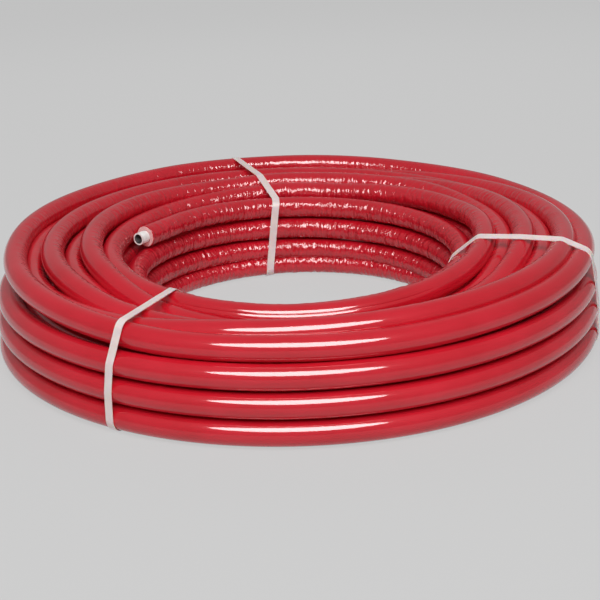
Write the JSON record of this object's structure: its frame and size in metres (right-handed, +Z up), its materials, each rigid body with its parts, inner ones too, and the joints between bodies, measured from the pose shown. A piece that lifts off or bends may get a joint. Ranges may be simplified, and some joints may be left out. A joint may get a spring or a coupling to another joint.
{
  "type": "insulated pipe coil",
  "caption": "Flat-lying coil of foam-insulated multilayer pipe, strapped, with a bare pipe end inside the eye.",
  "frame": {"origin": "centre of the coil, on the floor it lies on", "axes": "+Z up along the coil's axis, -Y towards the front, +X to the right, with the pipe's free end inside the eye on the left"},
  "size_m": [0.742, 0.7418, 0.1332],
  "materials": {
    "foam_insulation": "red film over soft foam, satin",
    "pipe_plastic": "smooth, satin white",
    "strap_plastic": "pale, slightly translucent band"
  },
  "bodies": {
    "root": {"insulated_coil": "foam_insulation", "pipe_end": "pipe_plastic", "strap_right": "strap_plastic", "strap_back": "strap_plastic", "strap_front": "strap_plastic"}
  },
  "joints": []
}
